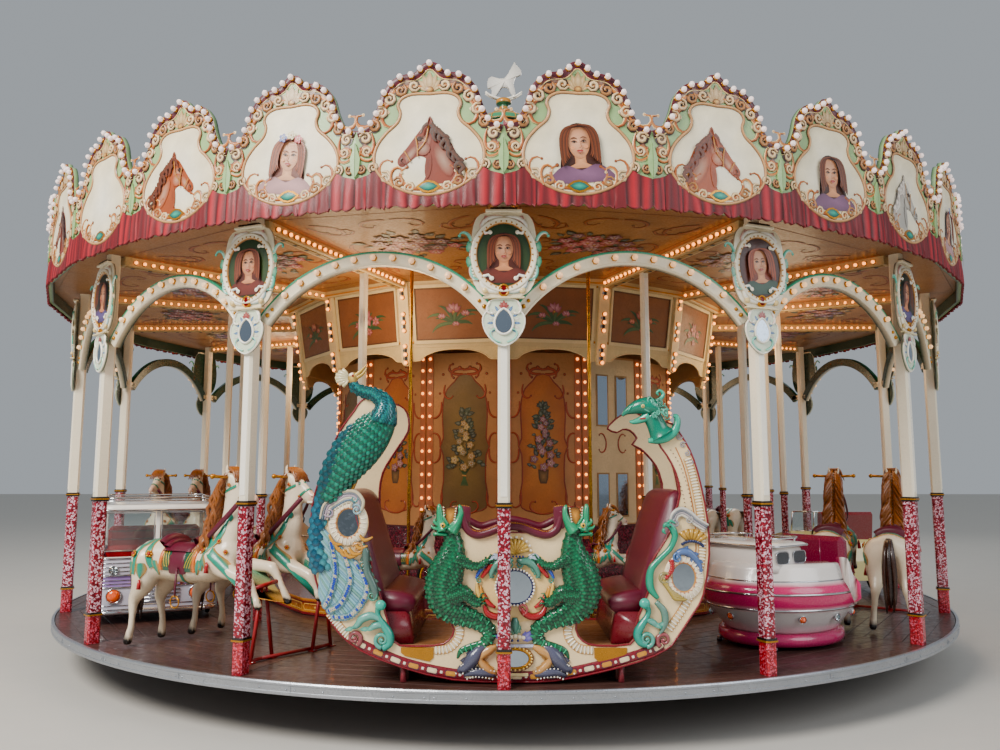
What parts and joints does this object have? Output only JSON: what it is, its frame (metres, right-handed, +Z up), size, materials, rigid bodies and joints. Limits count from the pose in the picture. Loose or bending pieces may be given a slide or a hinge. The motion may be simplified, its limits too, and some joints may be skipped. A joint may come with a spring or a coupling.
{
  "type": "fairground carousel",
  "caption": "Round fairground carousel: turning platform with posts, arches, cresting, canvas roof, painted centre drum, gondola, boat, van, cars and carved horses.",
  "frame": {"origin": "centre of the ground frame on the ground", "axes": "+Z up, -Y towards the front gondola, riders at the front travel towards +X"},
  "size_m": [9.4, 9.4, 6.6603],
  "materials": {
    "cream_paint": "gloss enamel",
    "crest_paint": "painted board, gloss varnish",
    "frame_steel": "dark painted steel",
    "mast_steel": "satin",
    "rim_metal": "brushed",
    "deck_wood": "worn dark boards",
    "roof_fabric": "sun-faded coated canvas in two colours",
    "ceiling_paint": "painted panels, satin",
    "drum_paint": "painted panels, satin",
    "step_paint": "dark red paint",
    "upholstery": "maroon buttoned leatherette",
    "horse_paint": "gloss painted glass fibre",
    "carved_paint": "gloss painted glass fibre with relief",
    "van_paint": "gloss lilac and silver",
    "boat_paint": "gloss pink and white",
    "car_paint": "gloss cream",
    "bicycle_paint": "gloss blue with yellow rims",
    "cap_paint": "gloss green",
    "finial_paint": "white and grey paint"
  },
  "bodies": {
    "base": {"ground_frame": "frame_steel", "centre_mast": "mast_steel"},
    "turntable": {"deck_frame": "frame_steel", "deck_boards": "deck_wood", "deck_rim": "rim_metal", "inner_step": "step_paint", "drum_wall": "drum_paint", "drum_cornice": "cream_paint", "ceiling": "ceiling_paint", "post_01": "cream_paint", "post_02": "cream_paint", "post_03": "cream_paint", "post_04": "cream_paint", "post_05": "cream_paint", "post_06": "cream_paint", "post_07": "cream_paint", "post_08": "cream_paint", "post_09": "cream_paint", "post_10": "cream_paint", "post_11": "cream_paint", "post_12": "cream_paint", "post_13": "cream_paint", "post_14": "cream_paint", "post_15": "cream_paint", "post_16": "cream_paint", "rafters_front_right": "cream_paint", "rafters_back_right": "cream_paint", "rafters_back_left": "cream_paint", "rafters_front_left": "cream_paint", "arches_front_right": "cream_paint", "arches_back_right": "cream_paint", "arches_back_left": "cream_paint", "arches_front_left": "cream_paint", "crest_front_right": "crest_paint", "crest_back_right": "crest_paint", "crest_back_left": "crest_paint", "crest_front_left": "crest_paint", "roof_right": "roof_fabric", "roof_left": "roof_fabric", "boat_back": "boat_paint", "roof_cap": "cap_paint", "finial_horse": "finial_paint", "gondola_outer_side": "carved_paint", "gondola_inner_side": "carved_paint", "gondola_floor": "deck_wood", "gondola_seat_rear": "upholstery", "gondola_seat_fore": "upholstery", "horses_front_left": "horse_paint", "horses_left": "horse_paint", "horses_back_left": "horse_paint", "horses_right": "horse_paint", "horses_back_right": "horse_paint", "van": "van_paint", "boat": "boat_paint", "car_right": "car_paint", "car_left": "car_paint", "bicycle": "bicycle_paint"},
    "galloper_left_ride": {"galloper_left": "horse_paint"},
    "galloper_right_ride": {"galloper_right": "horse_paint"}
  },
  "joints": [
    {"name": "carousel_spin", "type": "hinge", "parent": "base", "child": "turntable", "pos_m": [0, 0, 0.3], "axis": [0, 0, 1], "continuous": true},
    {"name": "galloper_left_rise", "type": "slide", "parent": "turntable", "child": "galloper_left_ride", "axis": [0, 0, 1], "range_m": [-0.09, 0.09]},
    {"name": "galloper_right_rise", "type": "slide", "parent": "turntable", "child": "galloper_right_ride", "axis": [0, 0, 1], "range_m": [-0.09, 0.09]}
  ]
}
